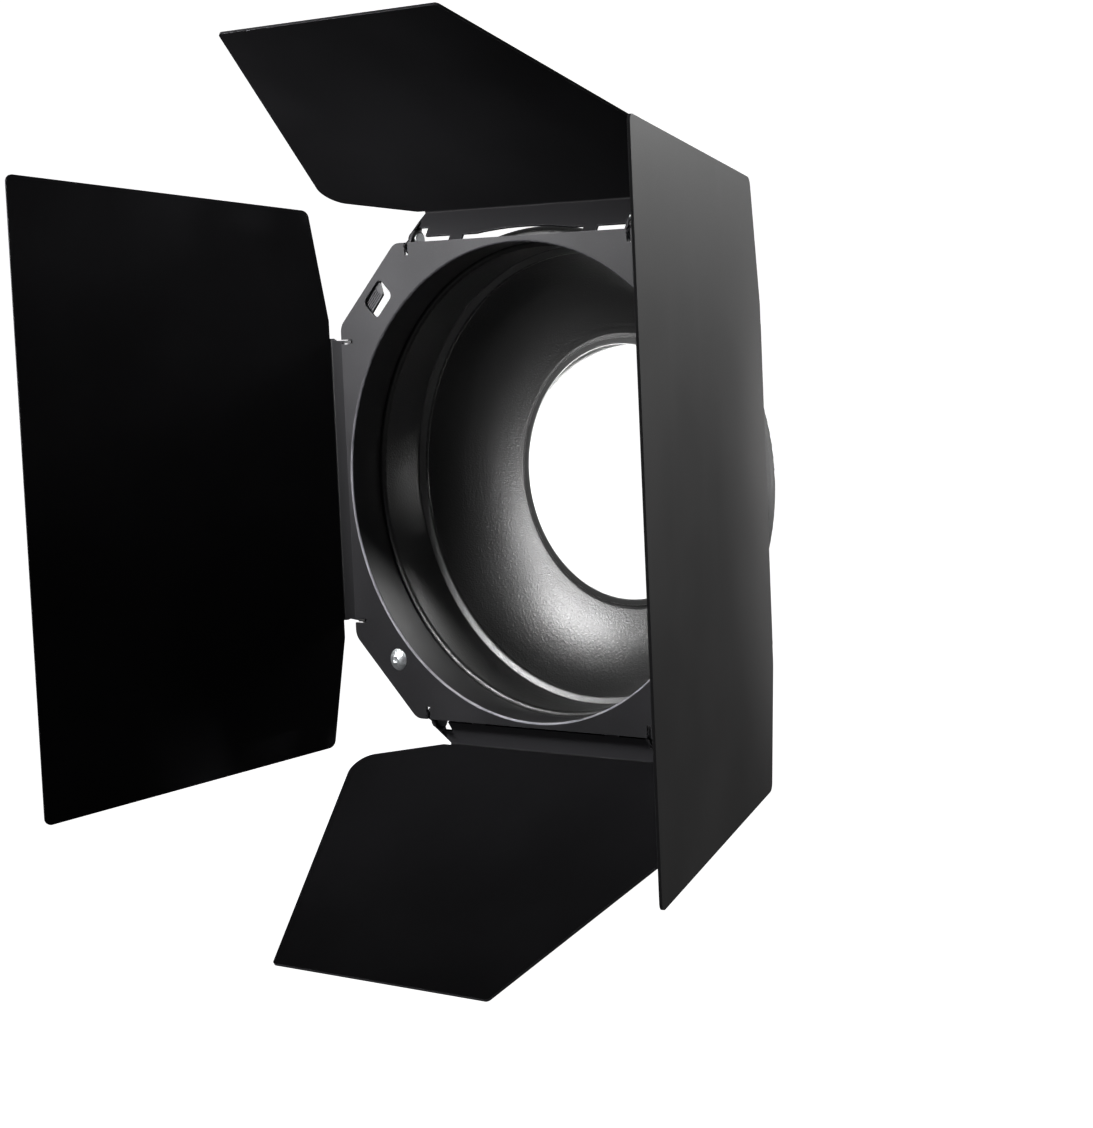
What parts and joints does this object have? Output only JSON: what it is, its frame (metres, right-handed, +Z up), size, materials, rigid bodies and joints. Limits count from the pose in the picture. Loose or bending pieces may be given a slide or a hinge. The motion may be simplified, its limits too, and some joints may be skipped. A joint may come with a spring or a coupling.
{
  "type": "barn door set",
  "caption": "Square black sheet-metal frame with hinged light-shaping leaves, clipped to a round spun dish that ends in a bayonet ring.",
  "frame": {"origin": "centre of the bore, in the plane of the bayonet ring's seating face", "axes": "+Z up, +Y along the optical axis towards the light head, the beam leaves towards -Y, +X to the right seen from the beam's side"},
  "size_m": [0.3038, 0.1859, 0.3385],
  "materials": {
    "dish_paint": "satin black paint on spun aluminium",
    "bayonet_metal": "satin black, worn on the lugs",
    "frame_paint": "fine-textured black powder coat",
    "leaf_paint": "matte black powder coat",
    "latch_metal": "black oxide, grooved pad",
    "zinc_rivet": "bright zinc plate",
    "spring_steel": "drawn spring wire",
    "washer_nylon": "black nylon"
  },
  "bodies": {
    "dish": {"dish_shell": "dish_paint", "bayonet_ring": "bayonet_metal"},
    "frame": {"frame_plate": "frame_paint", "rim_clip_upper_right": "frame_paint", "rim_clip_lower_right": "frame_paint", "rim_clip_lower_left": "frame_paint", "clip_rivets": "zinc_rivet", "latch_studs": "zinc_rivet", "latch_spring_posts": "zinc_rivet", "latch_springs": "spring_steel", "hinge_rivets_top": "zinc_rivet", "hinge_rivets_right": "zinc_rivet", "hinge_rivets_bottom": "zinc_rivet", "hinge_rivets_left": "zinc_rivet", "hinge_washers_top": "washer_nylon", "hinge_washers_right": "washer_nylon", "hinge_washers_bottom": "washer_nylon", "hinge_washers_left": "washer_nylon"},
    "top_leaf": {"leaf_top": "leaf_paint"},
    "right_leaf": {"leaf_right": "leaf_paint"},
    "bottom_leaf": {"leaf_bottom": "leaf_paint"},
    "left_leaf": {"leaf_left": "leaf_paint"},
    "latch": {"latch_slide": "latch_metal"}
  },
  "joints": [
    {"name": "frame_turn", "type": "hinge", "parent": "dish", "child": "frame", "pos_m": [0, 0, 0], "axis": [0, 1, 0], "continuous": true},
    {"name": "top_leaf_hinge", "type": "hinge", "parent": "frame", "child": "top_leaf", "pos_m": [0, -0.0589, 0.09315], "axis": [1, 0, 0], "range_deg": [-38.7, 121.3]},
    {"name": "right_leaf_hinge", "type": "hinge", "parent": "frame", "child": "right_leaf", "pos_m": [0.0896, -0.0594, 0], "axis": [0, 0, -1], "range_deg": [-50.4, 95.1]},
    {"name": "bottom_leaf_hinge", "type": "hinge", "parent": "frame", "child": "bottom_leaf", "pos_m": [0, -0.0589, -0.09315], "axis": [-1, 0, 0], "range_deg": [-37.2, 120.8]},
    {"name": "left_leaf_hinge", "type": "hinge", "parent": "frame", "child": "left_leaf", "pos_m": [-0.0896, -0.0594, 0], "axis": [0, 0, 1], "range_deg": [-48.7, 106.3]},
    {"name": "latch_press", "type": "slide", "parent": "frame", "child": "latch", "axis": [-0.7071, 0, 0.7071], "range_m": [0, 0.0049], "stiffness_N_per_m": 400, "springref_m": -0.004, "deforming": ["latch_springs"]}
  ]
}
